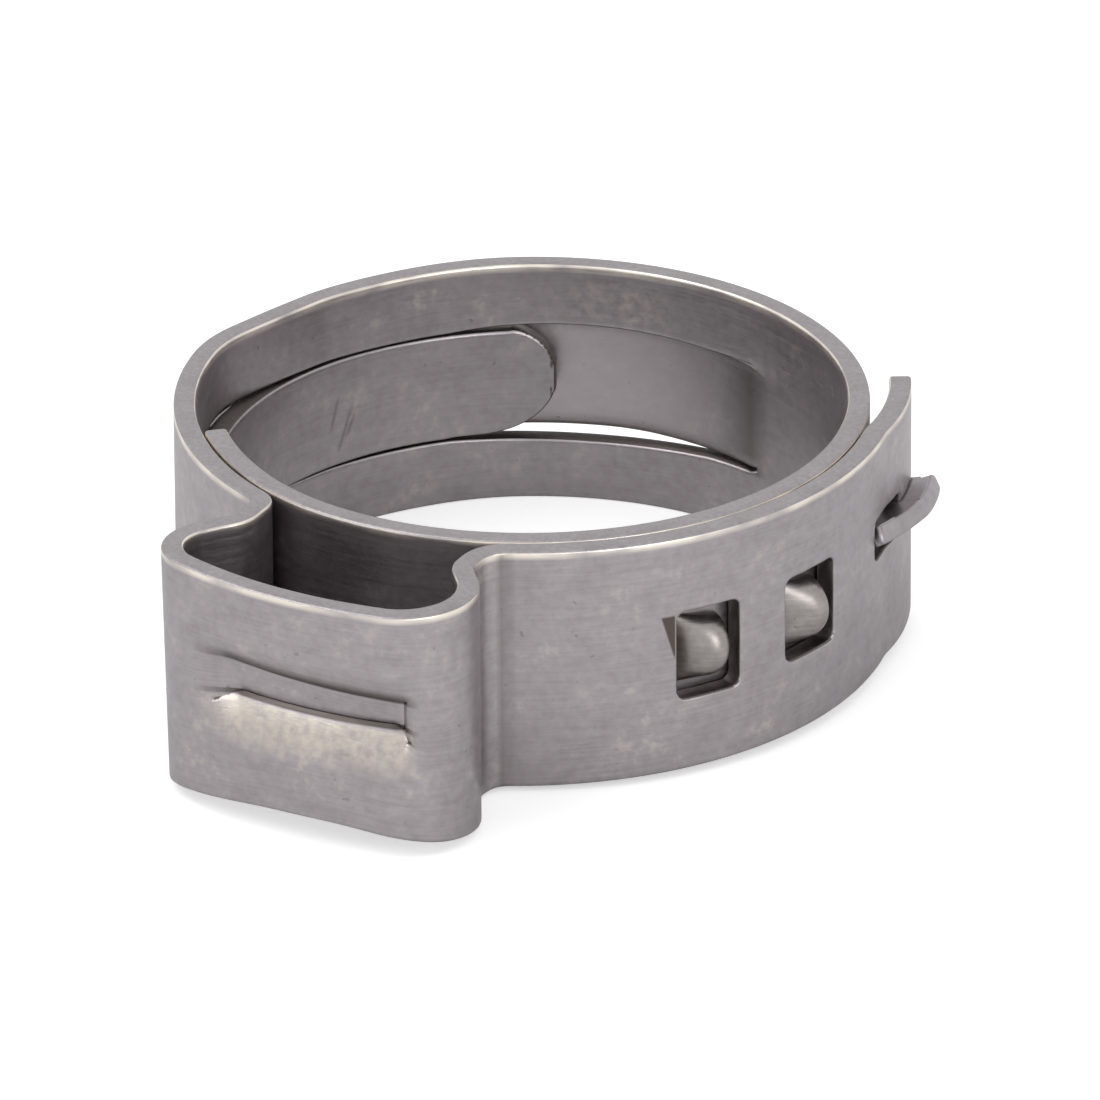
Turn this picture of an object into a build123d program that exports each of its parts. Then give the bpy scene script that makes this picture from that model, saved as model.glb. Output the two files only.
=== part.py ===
from build123d import *

import os
from math import atan2, cos, degrees, radians, sin, sqrt

# A one-piece pinch clamp, coiled from one steel strip. Millimetres and degrees.
# The ring's axis is Z, the lower edge of the strip lies at z = 0, and the ear stands on -Y.
# Angles are counter-clockwise from +X, seen from above.

# The strip
band_width = 7.0
band_thickness = 0.6

# The ring: radius inside the inner layer, and the play between two layers
bore_radius = 8.5
layer_gap = 0.06

# The outer layer's free end, which springs off the layer below
free_end_angle = 34.5
flare_angle = 14.0
flare_lift = 0.54
flare_bow = 0.05
flare_bend_radius = 3.0

# The ear: a loop with flared legs and a bowed face, which leans a little to one side
ear_neck_width = 5.94
ear_knee_rise = 0.4
ear_flare = 38.0
ear_leg_right = 3.43
ear_leg_left = 2.85
ear_face_radius = 12.4
ear_foot_radius_right = 1.1
ear_foot_radius_left = 0.6
ear_knee_radius = 1.0
ear_corner_radius_right = 1.75
ear_corner_radius_left = 1.25

# The ear's lower edge, which rises in an arc from the legs to the middle of the face
ear_rise_start = 11.0
ear_rise_half = 0.28
ear_rise = 0.82

# The groove pressed across the ear's face: a valley with hipped ends
groove_low = 2.1
groove_high = 4.82
groove_depth = 0.75
groove_length = 6.5
valley_length = 4.9
valley_level = 3.65
groove_shift = 0.2

# The left of the outer layer, which lies a little flatter than the ring
left_sag = 0.18

# The jog, where the strip's two rails step in from the outer layer to the inner radius
jog_start_angle = -177.0
jog_end_angle = -201.0
jog_sink = 0.19
jog_radius = 4.0

# The channel for the tongue: two slits, with the bridge left standing out between them
channel_start_angle = -168.0
channel_width = 3.14
slit_gap = 0.04
bridge_settle_angle = -215.0
rail_hollow = 0.17
hollow_length = 8.8
hollow_angle = -256.0
ramp_start_angle = -260.0
ramp_end_angle = -288.0

# The single layer on the right, and the inner layer with its shoulders
single_angle = -300.0
spring_start_angle = -455.0
shoulder_angle = -499.3
shoulder_spring = 0.17

# The tongue past the shoulders
tongue_width = 2.9
tongue_corner_radius = 1.15
tongue_tip_angle = -607.3
tongue_tip_spring = 0.03

# Windows in the outer layer, each with a pressed hook of the inner layer standing in it
window_angles = (-33.95, -12.65)
window_level = 3.48
window_length = 2.0
window_height = 2.5
window_corner = 0.25
hook_setback = 0.6
hook_length = 1.35
hook_width = 1.9
hook_end_radius = 0.8
hook_wall = 0.4
hook_sink = 0.05

# The guide hook: a tab folded out of the inner layer, standing through a narrow slot
slot_angle = 14.3
slot_length = 2.1
slot_height = 1.2
slot_level = 4.0
slot_corner = 0.2
guide_level = 3.85
guide_root_length = 1.9
guide_bend_radius = 0.15
guide_blank_height = 2.05
guide_nose_angle = 29.0
guide_nose_rise = 0.74
guide_heel_rise = 0.09
guide_middle_rise = 0.66
guide_corner_radius = 0.2
guide_clearance = 0.08

# Sizes worked out from those above
half_thickness = band_thickness / 2
inner_mid = bore_radius + half_thickness
outer_mid = inner_mid + band_thickness + layer_gap
inner_face = bore_radius + band_thickness
outer_face = outer_mid + half_thickness
between_layers = inner_face + layer_gap / 2
mid_level = band_width / 2
well_outside = 2 * outer_face


def polar(radius, angle):
    """The point at a radius and an angle about the ring's axis."""
    return Vector(radius * cos(radians(angle)), radius * sin(radians(angle)))


def turn(length, radius):
    """The angle that a length takes up at a radius."""
    return degrees(length / radius)


def ring_arc(start, end, radius):
    """An arc of the ring from one angle to another."""
    return CenterArc((0, 0), radius, start, end - start)


def round_bends(line, bends):
    """Rounds a line at each of the points that a list pairs with a radius."""
    for point, radius in bends:
        fillet(line.vertices().sort_by_distance(point)[0], radius)


def level_plane(level):
    """The plane across the ring's axis at a level."""
    return Plane.XY.offset(level)


def tangent_plane(radius, angle, level):
    """A plane that faces outwards, with its X along the strip and its Y upwards."""
    outwards = polar(1, angle)
    along = Vector(-outwards.Y, outwards.X)
    return Plane(origin=polar(radius, angle) + Vector(0, 0, level), x_dir=along, z_dir=outwards)


def section_plane(angle):
    """The plane through the ring's axis at an angle, with its X outwards and its Y upwards."""
    outwards = polar(1, angle)
    return Plane(origin=(0, 0, 0), x_dir=outwards, z_dir=(outwards.Y, -outwards.X, 0))


def sector(low_radius, high_radius, start, end):
    """The outline of a piece of a ring between two radii and two angles."""
    low = ring_arc(start, end, low_radius)
    high = ring_arc(start, end, high_radius)
    Line(low @ 0, high @ 0)
    Line(low @ 1, high @ 1)


# Corner points of the ear's middle line
neck = ear_neck_width / 2 + half_thickness
foot_right = Vector(neck, -sqrt(outer_mid**2 - neck**2))
foot_left = Vector(-neck, foot_right.Y)
foot_right_angle = degrees(atan2(foot_right.Y, foot_right.X))
foot_left_angle = -180 - foot_right_angle
knee_right = Vector(neck, -outer_face - ear_knee_rise)
knee_left = Vector(-neck, knee_right.Y)
leg_across = sin(radians(ear_flare))
leg_outwards = cos(radians(ear_flare))
corner_right = knee_right + ear_leg_right * Vector(leg_across, -leg_outwards)
corner_left = knee_left + ear_leg_left * Vector(-leg_across, -leg_outwards)

# Ends of the stretches that join the two layers
free_end = polar(outer_mid + flare_lift, free_end_angle)
flare_middle = polar(outer_mid + flare_lift / 2 + flare_bow, (free_end_angle + flare_angle) / 2)
flare_start = polar(outer_mid, flare_angle)
left_middle = polar(outer_mid - left_sag, (foot_left_angle + jog_start_angle) / 2)
jog_start = polar(outer_mid - jog_sink, jog_start_angle)
jog_end = polar(inner_mid, jog_end_angle)
bridge_settled = polar(outer_mid, bridge_settle_angle)
ramp_start = polar(outer_mid, ramp_start_angle)
ramp_middle = polar((outer_mid + inner_mid) / 2, (ramp_start_angle + ramp_end_angle) / 2)
ramp_end = polar(inner_mid, ramp_end_angle)

# The bridge over the tongue: the middle of the strip, which stays at the outer layer's radius
# and then ramps in to the single layer.
with BuildPart() as bridge:
    with BuildSketch(level_plane(mid_level)):
        with BuildLine():
            left_run = ThreePointArc(foot_left, left_middle, jog_start)
            TangentArc(jog_start, bridge_settled, tangent=left_run % 1)
            ring_arc(bridge_settle_angle, ramp_start_angle, outer_mid)
            ThreePointArc(ramp_start, ramp_middle, ramp_end)
            ring_arc(ramp_end_angle, single_angle, inner_mid)
        trace(line_width=band_thickness)
    extrude(amount=channel_width / 2 - slit_gap, both=True)


# The groove's space under the ear's outer face, and the same space under its inner face
ear_centre = RadiusArc(corner_right, corner_left, ear_face_radius, mode=Mode.PRIVATE).arc_center
groove_middle = ear_centre.X + groove_shift
groove_spare = half_thickness
grooves = []
for face_radius in (ear_face_radius + half_thickness, ear_face_radius - half_thickness):
    with BuildPart() as groove:
        stretch = 1 + groove_spare / groove_depth
        with BuildSketch(Plane(origin=ear_centre, x_dir=(0, -1, 0), z_dir=(-1, 0, 0))):
            with BuildLine():
                Polyline(
                    (face_radius - groove_depth, valley_level),
                    (face_radius + groove_spare, valley_level + stretch * (groove_high - valley_level)),
                    (face_radius + groove_spare, valley_level + stretch * (groove_low - valley_level)),
                    close=True,
                )
            make_face()
        revolve(axis=Axis(ear_centre, (0, 0, 1)))
        valley_front = ear_centre.Y - face_radius + groove_depth
        hip_slope = (groove_length - valley_length) / 2 / groove_depth
        wide_length = groove_length + 2 * hip_slope * groove_spare
        with BuildSketch():
            with BuildLine():
                Polyline(
                    (groove_middle - valley_length / 2, valley_front),
                    (groove_middle + valley_length / 2, valley_front),
                    (groove_middle + wide_length / 2, valley_front - groove_depth - groove_spare),
                    (groove_middle - wide_length / 2, valley_front - groove_depth - groove_spare),
                    close=True,
                )
            make_face()
        extrude(amount=band_width, mode=Mode.INTERSECT)
    grooves.append(groove.part)

# The tongue, which has a round end
with BuildPart() as tongue:
    with BuildSketch(level_plane(mid_level)):
        with BuildLine() as tongue_line:
            shoulder = polar(inner_mid - shoulder_spring, shoulder_angle)
            along_shoulder = polar(1, shoulder_angle - 90)
            tongue_tip = polar(inner_mid - tongue_tip_spring, tongue_tip_angle)
            TangentArc(shoulder, tongue_tip, tangent=along_shoulder)
        trace(line_width=band_thickness)
    extrude(amount=tongue_width / 2, both=True)
    across_tip = tongue.edges().sort_by_distance(tongue_tip + Vector(0, 0, mid_level))
    fillet(across_tip.filter_by(Plane.XY)[:2], tongue_corner_radius)

# The hooks pressed out of the inner layer: blunt half-domes, hollow and open at the sheared end
hooks = []
hook_hollows = []
for window_angle in window_angles:
    window_end = window_angle + turn(window_length / 2, outer_mid)
    hook_angle = window_end - turn(hook_setback + hook_length / 2, outer_mid)
    face = tangent_plane(inner_face - hook_sink, hook_angle, window_level)
    shear_plane = Plane(
        origin=face.origin + hook_length / 2 * face.x_dir,
        x_dir=-face.y_dir,
        z_dir=-face.x_dir,
    )
    for parts, wall, depth in ((hooks, 0, half_thickness), (hook_hollows, hook_wall, 2 * band_thickness)):
        half_width = hook_width / 2 - wall
        with BuildPart() as dome:
            with BuildSketch(shear_plane):
                with BuildLine():
                    CenterArc((0, 0), half_width, 0, 180)
                    Polyline((half_width, 0), (half_width, -depth), (-half_width, -depth), (-half_width, 0))
                make_face()
            extrude(amount=hook_length - wall)
            blunt_end = dome.faces().sort_by(Axis(shear_plane.origin, shear_plane.z_dir))[-1]
            rims = blunt_end.edges().sort_by(Axis(shear_plane.origin, face.z_dir))
            fillet(rims[1:], hook_end_radius - wall)
        parts.append(dome.part)

# The guide hook: a tab folded out of the inner layer, with a nose that laps the outer layer
slot_start = slot_angle - turn(guide_root_length / 2, outer_mid)
slot_end = slot_angle + turn(guide_root_length / 2, outer_mid)
bend_inner = guide_bend_radius
bend_outer = guide_bend_radius + band_thickness
bend_middle = Vector(inner_face + bend_inner, guide_level + bend_outer)
guide_top = guide_level + band_thickness


def flared_face(angle):
    """The radius of the outer face where the outer layer springs up to its free end."""
    share = (angle - flare_angle) / (free_end_angle - flare_angle)
    return outer_face + flare_lift * share + 4 * flare_bow * share * (1 - share)


with BuildPart() as guide_hook:
    with BuildSketch(section_plane(slot_start)):
        with BuildLine():
            bend = bend_middle
            CenterArc(bend, bend_inner, 180, 90)
            CenterArc(bend, bend_outer, 180, 90)
            Line(bend - Vector(bend_inner, 0), bend - Vector(bend_outer, 0))
            Line(bend - Vector(0, bend_inner), bend - Vector(0, bend_outer))
        make_face()
    revolve(axis=Axis.Z, revolution_arc=slot_end - slot_start)
    with BuildSketch(level_plane(guide_level)):
        with BuildLine():
            heel = polar(outer_face + guide_heel_rise, slot_start)
            back_angle = (slot_start + guide_nose_angle) / 2
            nose = polar(flared_face(guide_nose_angle) + guide_nose_rise, guide_nose_angle)
            chin = polar(flared_face(guide_nose_angle) + guide_clearance, guide_nose_angle)
            throat = polar(flared_face(slot_end) + guide_clearance, slot_end)
            lip_angle = (slot_end + guide_nose_angle) / 2
            root_start = polar(bend_middle.X, slot_start)
            root_end = polar(bend_middle.X, slot_end)
            Line(root_start, heel)
            ThreePointArc(heel, polar(outer_face + guide_middle_rise, back_angle), nose)
            Line(nose, chin)
            ThreePointArc(chin, polar(flared_face(lip_angle) + guide_clearance, lip_angle), throat)
            Line(throat, root_end)
            ring_arc(slot_end, slot_start, bend_middle.X)
        make_face()
    extrude(amount=band_thickness)
    heel_edge = guide_hook.edges().filter_by(Axis.Z).sort_by_distance(heel + Vector(0, 0, guide_top))[0]
    fillet(heel_edge, guide_corner_radius)

# The whole strip, from the free end to the tongue's tip
with BuildPart() as clamp_ring:
    with BuildSketch():
        with BuildLine() as outer_line:
            ThreePointArc(free_end, flare_middle, flare_start)
            ring_arc(flare_angle, foot_right_angle, outer_mid)
            Line(foot_right, knee_right)
            Line(knee_right, corner_right)
            RadiusArc(corner_right, corner_left, ear_face_radius)
            Line(corner_left, knee_left)
            Line(knee_left, foot_left)
            ThreePointArc(foot_left, left_middle, jog_start)
            Line(jog_start, jog_end)
            ring_arc(jog_end_angle, single_angle, inner_mid)
            round_bends(
                outer_line,
                (
                    (flare_start, flare_bend_radius),
                    (foot_right, ear_foot_radius_right),
                    (knee_right, ear_knee_radius),
                    (corner_right, ear_corner_radius_right),
                    (corner_left, ear_corner_radius_left),
                    (knee_left, ear_knee_radius),
                    (foot_left, ear_foot_radius_left),
                    (jog_start, jog_radius),
                    (jog_end, jog_radius),
                ),
            )
        trace(line_width=band_thickness)
    extrude(amount=band_width)

    # The channel is cut between the rails, and the bridge crosses it
    with BuildSketch(level_plane(mid_level)):
        with BuildLine():
            sector(bore_radius / 2, well_outside, channel_start_angle, ramp_end_angle)
        make_face()
    extrude(amount=channel_width / 2, both=True, mode=Mode.SUBTRACT)
    with BuildSketch(tangent_plane(bore_radius / 2, hollow_angle, mid_level)):
        for side in (1, -1):
            with BuildLine():
                rail_edge = side * channel_width / 2
                hollow_end = Vector(hollow_length / 2, rail_edge)
                hollow_start = Vector(-hollow_length / 2, rail_edge)
                ThreePointArc(hollow_start, (0, rail_edge + side * rail_hollow), hollow_end)
                Line(hollow_end, hollow_start)
            make_face()
    extrude(amount=outer_face, mode=Mode.SUBTRACT)
    add(bridge)

    # Windows and the guide hook's slot go through the outer layer alone
    for window_angle in window_angles:
        with BuildSketch(tangent_plane(between_layers / 2, window_angle, window_level)):
            RectangleRounded(window_length, window_height, window_corner)
        extrude(amount=outer_face, mode=Mode.SUBTRACT)
    with BuildSketch(tangent_plane(between_layers / 2, slot_angle, slot_level)):
        RectangleRounded(slot_length, slot_height, slot_corner)
    extrude(amount=outer_face, mode=Mode.SUBTRACT)

    # The ear's lower edge is trimmed to its rise, seen from the side
    with BuildSketch(Plane.YZ):
        with BuildLine():
            rise_start = Vector(-ear_rise_start, 0)
            rise_end = Vector(ear_centre.Y - ear_face_radius - half_thickness, ear_rise)
            rise_middle = Vector((rise_start.X + rise_end.X) / 2, ear_rise_half)
            ThreePointArc(rise_start, rise_middle, rise_end)
            Polyline(rise_start, Vector(rise_end.X, 0), rise_end)
        make_face()
    extrude(amount=outer_mid, both=True, mode=Mode.SUBTRACT)

    # The groove keeps the wall's thickness: a ridge inside the ear, then the cut outside
    add(grooves[1])
    add(grooves[0], mode=Mode.SUBTRACT)

    # The inner layer, whose end springs in a little before its shoulders
    with BuildSketch():
        with BuildLine():
            inner_ring = ring_arc(single_angle, spring_start_angle, inner_mid)
            spring_middle = polar(inner_mid - shoulder_spring / 2, (spring_start_angle + shoulder_angle) / 2)
            spring = TangentArc(inner_ring @ 1, spring_middle, tangent=inner_ring % 1)
            TangentArc(spring @ 1, shoulder, tangent=spring % 1)
        trace(line_width=band_thickness)
    extrude(amount=band_width)

    # The guide hook's blank, cut out of the inner layer below its bend, and its nose's blank
    relief = turn(guide_clearance, inner_face)
    blank_low = bend_middle.Y - guide_blank_height
    blanks = (
        (slot_start - relief, slot_end + relief, guide_blank_height),
        (slot_end, guide_nose_angle + relief, guide_nose_rise),
    )
    for blank_start, blank_end, blank_height in blanks:
        with BuildSketch(level_plane(blank_low)):
            with BuildLine():
                sector(bore_radius / 2, between_layers, blank_start, blank_end)
            make_face()
        extrude(amount=blank_height, mode=Mode.SUBTRACT)
    add(guide_hook)

    for hook, hollow in zip(hooks, hook_hollows):
        add(hook)
        add(hollow, mode=Mode.SUBTRACT)
    add(tongue)

clamp_ring.part.label = "clamp_ring"
os.makedirs("parts", exist_ok=True)
export_step(clamp_ring.part, "parts/clamp_ring.step")
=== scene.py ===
import math
import bmesh
import bpy
import numpy as np
from mathutils import Matrix, Vector


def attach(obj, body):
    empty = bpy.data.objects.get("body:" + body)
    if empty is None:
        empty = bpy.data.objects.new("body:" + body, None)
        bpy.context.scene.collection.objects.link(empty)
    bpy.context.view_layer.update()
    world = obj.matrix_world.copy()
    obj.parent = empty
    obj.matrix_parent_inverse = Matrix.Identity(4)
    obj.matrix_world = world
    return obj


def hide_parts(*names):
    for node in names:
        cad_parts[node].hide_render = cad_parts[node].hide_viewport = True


# A pinch clamp ring coiled from one strip of stainless steel. Lengths in the dictionaries are
# millimetres and angles are degrees, counter-clockwise from +X seen from above. The strip is
# followed from its outer free end, clockwise: ear, jog, channel, single layer, inner layer, tongue.

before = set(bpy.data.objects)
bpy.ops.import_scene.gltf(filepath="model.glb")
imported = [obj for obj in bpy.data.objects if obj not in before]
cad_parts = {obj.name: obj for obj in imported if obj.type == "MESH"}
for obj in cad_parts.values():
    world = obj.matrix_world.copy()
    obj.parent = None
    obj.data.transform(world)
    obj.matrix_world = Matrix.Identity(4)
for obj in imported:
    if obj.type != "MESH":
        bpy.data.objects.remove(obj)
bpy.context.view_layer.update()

strip = {
    "width": 7.0,
    "thickness": 0.6,
    "bore": 8.5,            # radius inside the inner layer
    "gap": 0.06,            # play between the two layers
    "edge": 0.09,           # rounding of the sheared edges
    "sample": 0.02,         # spacing of the path's points
    "railRows": 13,         # rows of points across each rail of the channel
}
strip["half"] = strip["thickness"] / 2
strip["innerMid"] = strip["bore"] + strip["half"]
strip["outerMid"] = strip["innerMid"] + strip["thickness"] + strip["gap"]

freeEnd = {"angle": 34.5, "start": 14.0, "lift": 0.54, "bow": 0.05, "bend": 3.0}

ear = {
    "neck": 5.94,
    "kneeRise": 0.4,
    "flare": 38.0,
    "legRight": 3.43,
    "legLeft": 2.85,
    "faceRadius": 12.4,
    "footRight": 1.1,
    "footLeft": 0.6,
    "knee": 1.0,
    "cornerRight": 1.75,
    "cornerLeft": 1.25,
    "riseStart": 11.0,      # the lower edge rises outwards
    "riseEnd": 13.79,
    "rise": 0.76,
    "risePower": 1.55,
    "dropLeft": (-0.2, 3.0, 0.17),    # where it rises less at a corner, over what length, how much
    "dropRight": (1.2, 3.2, 0.22),
    "lean": (0.05, 0.15),   # how far the left corner stands in, all over and more at its foot
    "leanStart": (-1.5, -10.4),
    "leanLength": (2.5, 1.2),
}

# The groove, from above: a roll inwards to a fold, a flat wall down to the valley, and a bulging
# wall out again. It fades out on the left and ends sharply on the right.
groove = {
    "rim": 5.2,
    "fold": (4.5, -0.05),   # level at the middle, and its slope along the strip
    "foldDepth": 0.42,
    "valley": 3.57,
    "depth": 0.62,
    "crease": 0.14,         # how much deeper the valley's crease is
    "creaseWidth": 0.11,
    "droopLeft": (-1.5, 1.5, 0.42),   # where the valley turns down, over what length, how far
    "droopRight": (2.95, 0.8, 0.5),
    "low": 2.1,
    "pillow": 1.7,
    "rows": (1.91, 2.2, 2.45, 2.62, 2.77, 2.9, 3.0, 3.08, 3.15, 3.22, 3.3, 3.42, 3.6, 3.8, 3.96, 4.07,
             4.15, 4.22, 4.3, 4.42, 4.65, 5.03),
    "left": (-3.0, 1.3),    # where each end starts, and its length
    "right": (3.75, 0.4),
    "bulgeLeft": 0.4,       # how far the ends stand in below the valley
    "bulgeRight": 0.24,
    "bulgeHeight": 0.9,
    "rowsStart": 10.6,      # where the rows draw together for it, and over what length
    "rowsLength": 1.6,
}

jog = {
    "start": -177.0,
    "end": -201.0,
    "radius": 4.0,
    "sag": 0.18,
    "sink": 0.19,
    "flat": 0.12,           # how far the rails stand in past it, about an angle
    "flatAngle": -214.0,
    "flatSpread": 26.0,
}

# The outer layer's lower edge rises between two angles, after it has faded in from the foot.
bandRise = {"start": -66.0, "end": 6.0, "low": 0.12, "high": 0.32, "from": -74.0, "fade": 6.0}

channel = {
    "start": -168.0,
    "settle": -215.0,       # where the bridge over the tongue is back at the outer radius
    "rampStart": -260.0,    # where it ramps in to the single layer, a little past the slits' end
    "end": -288.0,
    "rampEnd": -293.0,
    "rampSoft": 0.14,       # rounding of the ramp's two ends
    "dentEnd": -297.0,
    "dentHalf": 1.9,        # half the dent's height, and its fading
    "dentFade": 0.7,
    "low": 1.87,            # the slits, between the rails and the bridge
    "high": 5.07,
    "gap": 0.04,
    "hollow": 0.13,         # how far the rails' edges are hollowed, about an angle
    "hollowAngle": -252.0,
    "hollowLength": 7.4,
}

innerEnd = {"springStart": -455.0, "shoulder": -499.3, "spring": 0.17}

tongue = {"tip": -606.9, "tipSpring": 0.03, "end": 3.0, "corner": 1.35, "sweep": 2.2}

windows = (
    {"angle": -33.45, "level": 3.43, "length": 1.83, "height": 2.6, "corner": 0.25},
    {"angle": -12.6, "level": 3.48, "length": 1.94, "height": 2.5, "corner": 0.25},
)

hook = {
    "shears": (-29.8, -8.6),  # the angles of their sheared ends
    "level": 3.48,
    "hollow": 0.9,
    "length": 1.75,
    "nose": 0.4,            # from the sheared end to the crest
    "width": 1.8,
    "crest": 0.95,
    "drop": 0.3,            # from the crest to the top of the sheared end
    "wall": 0.4,
    "hollowCorner": 0.3,
    "spread": 0.15,         # how much wider its foot and narrower its sheared end are, as shares
    "pinch": 0.14,
    "skirt": 0.25,          # how deep it runs into the layer that it stands on
}

slot = {"angle": 14.3, "length": 2.1, "height": 1.2, "level": 4.0, "corner": 0.2}

guide = {
    "level": 3.85,
    "root": 1.9,
    "bend": 0.15,
    "blank": 2.05,
    "blankCorner": 0.25,
    "noseAngle": 29.0,
    "noseRise": 0.74,
    "middleRise": 0.86,
    "heelRise": 0.12,
    "clearance": 0.02,      # from the flared end to the fin
    "relief": 0.08,         # round the hole that its blank leaves
    "thickness": 0.52,
    "edge": 0.12,
    "columns": 17,          # columns of points over its root
    "tilt": 0.17,           # how much higher the fin's outer edge stands
}


# Points at a radius and an angle about the ring's axis.
def polar(radius, angle):
    a = np.radians(angle)
    return np.stack([radius * np.cos(a), radius * np.sin(a)], -1)


# How many points a run of the path has.
def samples(length):
    return max(int(length / strip["sample"]), 8)


# The arc of a circle about the ring's axis, as evenly spaced points.
def ringArc(radius, start, end):
    n = samples(abs(math.radians(end - start)) * radius)
    return polar(radius, np.linspace(start, end, n))


# The points of a straight run.
def straight(a, b):
    n = samples(np.linalg.norm(np.subtract(b, a)))
    t = np.linspace(0, 1, n)[:, None]
    return (1 - t) * np.array(a) + t * np.array(b)


# The arc from a to c that passes b: its centre is where the two bisectors cross.
def arcThrough(a, b, c):
    a, b, c = (np.array(p, float) for p in (a, b, c))
    m = 2 * np.array([b - a, c - b])
    centre = np.linalg.solve(m, [b @ b - a @ a, c @ c - b @ b])
    angles = np.unwrap([math.atan2(*(p - centre)[::-1]) for p in (a, b, c)])
    radius = np.linalg.norm(a - centre)
    n = samples(radius * abs(angles[2] - angles[0]))
    t = np.linspace(angles[0], angles[2], n)
    return centre + radius * np.stack([np.cos(t), np.sin(t)], -1)


# The arc from a to c that leaves a along a direction.
def arcTangent(a, c, direction):
    a, c, d = np.array(a, float), np.array(c, float), np.array(direction, float)
    left = np.array([-d[1], d[0]]) / np.linalg.norm(d)
    chord = c - a
    radius = (chord @ chord) / (2 * chord @ left)
    centre = a + radius * left
    half = math.asin(np.clip(np.linalg.norm(chord) / 2 / abs(radius), -1, 1))
    start = math.atan2(*(a - centre)[::-1])
    t = start + np.linspace(0, 2 * half, samples(abs(radius) * 2 * half)) * np.sign(radius)
    return centre + abs(radius) * np.stack([np.cos(t), np.sin(t)], -1)


# Unit normals to the left of a line of points.
def leftOf(points):
    d = np.gradient(points, axis=0)
    d /= np.linalg.norm(d, axis=1)[:, None]
    return np.stack([-d[:, 1], d[:, 0]], -1)


# Joins two lines by an arc that touches both: its centre is where their parallels, one radius
# away on the inside of the turn, come together.
def rounded(first, second, radius):
    a, b = first[-1] - first[-2], second[1] - second[0]
    turn = np.sign(a[0] * b[1] - a[1] * b[0])
    nearFirst = first + turn * radius * leftOf(first)
    nearSecond = second + turn * radius * leftOf(second)
    apart = np.linalg.norm(nearFirst[:, None] - nearSecond[None], axis=2)
    i, j = np.unravel_index(np.argmin(apart), apart.shape)
    centre = (nearFirst[i] + nearSecond[j]) / 2
    ends = np.unwrap([math.atan2(*(p - centre)[::-1]) for p in (first[i], second[j])])
    n = samples(radius * abs(ends[1] - ends[0]))
    t = np.linspace(ends[0], ends[1], n)[1:-1]
    arc = centre + radius * np.stack([np.cos(t), np.sin(t)], -1)
    return np.concatenate([first[: i + 1], arc, second[j:]])


# The middle line of the whole strip seen from above, from the free end to the tongue's tip: arcs
# and straight runs, with an arc of its own radius at each bend.
def stripPath():
    outer, inner = strip["outerMid"], strip["innerMid"]
    neck = ear["neck"] / 2 + strip["half"]
    footY = -math.sqrt(outer**2 - neck**2)
    footRightAngle = math.degrees(math.atan2(footY, neck))
    kneeY = -(outer + strip["half"] + ear["kneeRise"])
    across, out = math.sin(math.radians(ear["flare"])), math.cos(math.radians(ear["flare"]))
    kneeRight, kneeLeft = (neck, kneeY), (-neck, kneeY)
    cornerRight = (neck + ear["legRight"] * across, kneeY - ear["legRight"] * out)
    cornerLeft = (-neck - ear["legLeft"] * across, kneeY - ear["legLeft"] * out)
    chord = np.subtract(cornerLeft, cornerRight)
    half = np.linalg.norm(chord) / 2
    sag = ear["faceRadius"] - math.sqrt(ear["faceRadius"] ** 2 - half**2)
    outward = np.array([-chord[1], chord[0]]) / (2 * half)
    bowed = (np.array(cornerRight) + cornerLeft) / 2 + outward * sag
    ear["centre"] = bowed - outward * ear["faceRadius"]

    flareMid = (freeEnd["angle"] + freeEnd["start"]) / 2
    flare = arcThrough(
        polar(outer + freeEnd["lift"], freeEnd["angle"]),
        polar(outer + freeEnd["lift"] / 2 + freeEnd["bow"], flareMid),
        polar(outer, freeEnd["start"]),
    )
    footLeftAngle = -180 - footRightAngle
    jogStart = polar(outer - jog["sink"], jog["start"])
    left = arcThrough(
        (-neck, footY), polar(outer - jog["sag"], (footLeftAngle + jog["start"]) / 2), jogStart
    )
    step = straight(jogStart, polar(inner, jog["end"]))
    ring = ringArc(inner, jog["end"], innerEnd["springStart"])
    springMid = (innerEnd["springStart"] + innerEnd["shoulder"]) / 2
    shoulder = polar(inner - innerEnd["spring"], innerEnd["shoulder"])
    spring = arcTangent(ring[-1], polar(inner - innerEnd["spring"] / 2, springMid), ring[-1] - ring[-2])
    settle = arcTangent(spring[-1], shoulder, spring[-1] - spring[-2])
    tip = polar(inner - tongue["tipSpring"], tongue["tip"])
    tongueRun = arcTangent(shoulder, tip, polar(1, innerEnd["shoulder"] - 90))

    line = rounded(flare, ringArc(outer, freeEnd["start"], footRightAngle), freeEnd["bend"])
    line = rounded(line, straight(line[-1], kneeRight), ear["footRight"])
    line = rounded(line, straight(kneeRight, cornerRight), ear["knee"])
    line = rounded(line, arcThrough(cornerRight, bowed, cornerLeft), ear["cornerRight"])
    line = rounded(line, straight(cornerLeft, kneeLeft), ear["cornerLeft"])
    line = rounded(line, straight(kneeLeft, (-neck, footY)), ear["knee"])
    line = rounded(line, left, ear["footLeft"])
    line = rounded(line, step, jog["radius"])
    line = rounded(line, ring, jog["radius"])
    return np.concatenate([line, spring[1:], settle[1:], tongueRun[1:]])


line = stripPath()
lengths = np.concatenate([[0], np.cumsum(np.linalg.norm(np.diff(line, axis=0), axis=1))])
ringAngles = np.degrees(np.unwrap(np.arctan2(line[:, 1], line[:, 0])))


# The length along the strip at which its middle line has come round to an angle.
def lengthAt(angle):
    return float(np.interp(-angle, -np.minimum.accumulate(ringAngles), lengths))


# A smooth step from nothing to one.
def smooth(t):
    t = np.clip(t, 0, 1)
    return t * t * (3 - 2 * t)


# The lesser of two values, rounded where they meet.
def softMin(a, b, width):
    h = np.clip(0.5 + 0.5 * (b - a) / width, 0, 1)
    return b * (1 - h) + a * h - width * h * (1 - h)


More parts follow.
